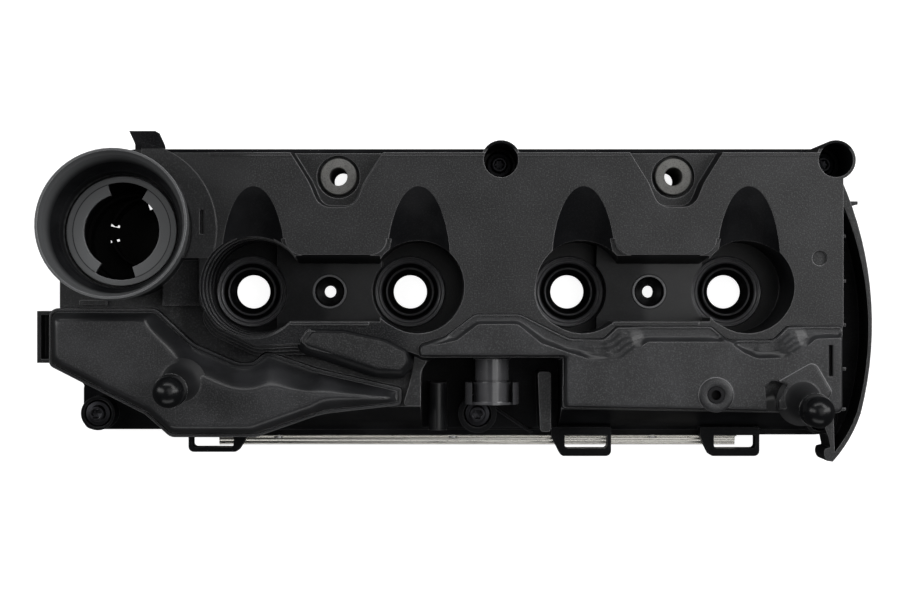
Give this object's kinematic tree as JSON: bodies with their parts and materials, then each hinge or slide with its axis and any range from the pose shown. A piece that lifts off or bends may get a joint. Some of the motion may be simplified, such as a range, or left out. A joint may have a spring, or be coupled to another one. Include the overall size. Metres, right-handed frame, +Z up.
{
  "type": "engine valve cover",
  "caption": "Moulded cylinder head cover with injector wells, oil filler neck, oil separator lid, vacuum reservoir lid and screwed flange.",
  "frame": {"origin": "underside of the perimeter gasket, on the injector line, midway between the second and third injector", "axes": "+X along the cylinder row towards the belt end, +Y to the side with the bracket sleeves, +Z up away from the engine"},
  "size_m": [0.4544, 0.1782, 0.1103],
  "materials": {
    "body": "grained",
    "lid_plastic": "grained",
    "insert_plastic": "smooth",
    "pipe_plastic": "gloss",
    "gasket_rubber": "matte",
    "seal_rubber": "satin",
    "screw_steel": "black zinc",
    "sleeve_steel": "plain",
    "sintered_steel": "sintered",
    "insert_steel": "black zinc",
    "shield_steel": "rolled",
    "baffle_steel": "rolled",
    "rivet_aluminium": "plain"
  },
  "bodies": {
    "root": {"baffle_plate": "baffle_steel", "baffle_rivets": "rivet_aluminium", "bracket_sleeve_1": "sintered_steel", "bracket_sleeve_2": "sintered_steel", "breather_pipe": "pipe_plastic", "clamp_seal_1": "seal_rubber", "clamp_seal_2": "seal_rubber", "cover_body": "body", "heat_shield": "shield_steel", "injector_seal_1": "seal_rubber", "injector_seal_2": "seal_rubber", "injector_seal_3": "seal_rubber", "injector_seal_4": "seal_rubber", "mounting_screws": "screw_steel", "perimeter_gasket": "gasket_rubber", "reservoir_lid": "lid_plastic", "screw_grommets": "seal_rubber", "screw_sleeves": "sleeve_steel", "separator_insert": "insert_plastic", "separator_lid": "lid_plastic", "shield_rivets": "rivet_aluminium", "splash_guard": "insert_plastic", "threaded_insert": "insert_steel"}
  },
  "joints": []
}
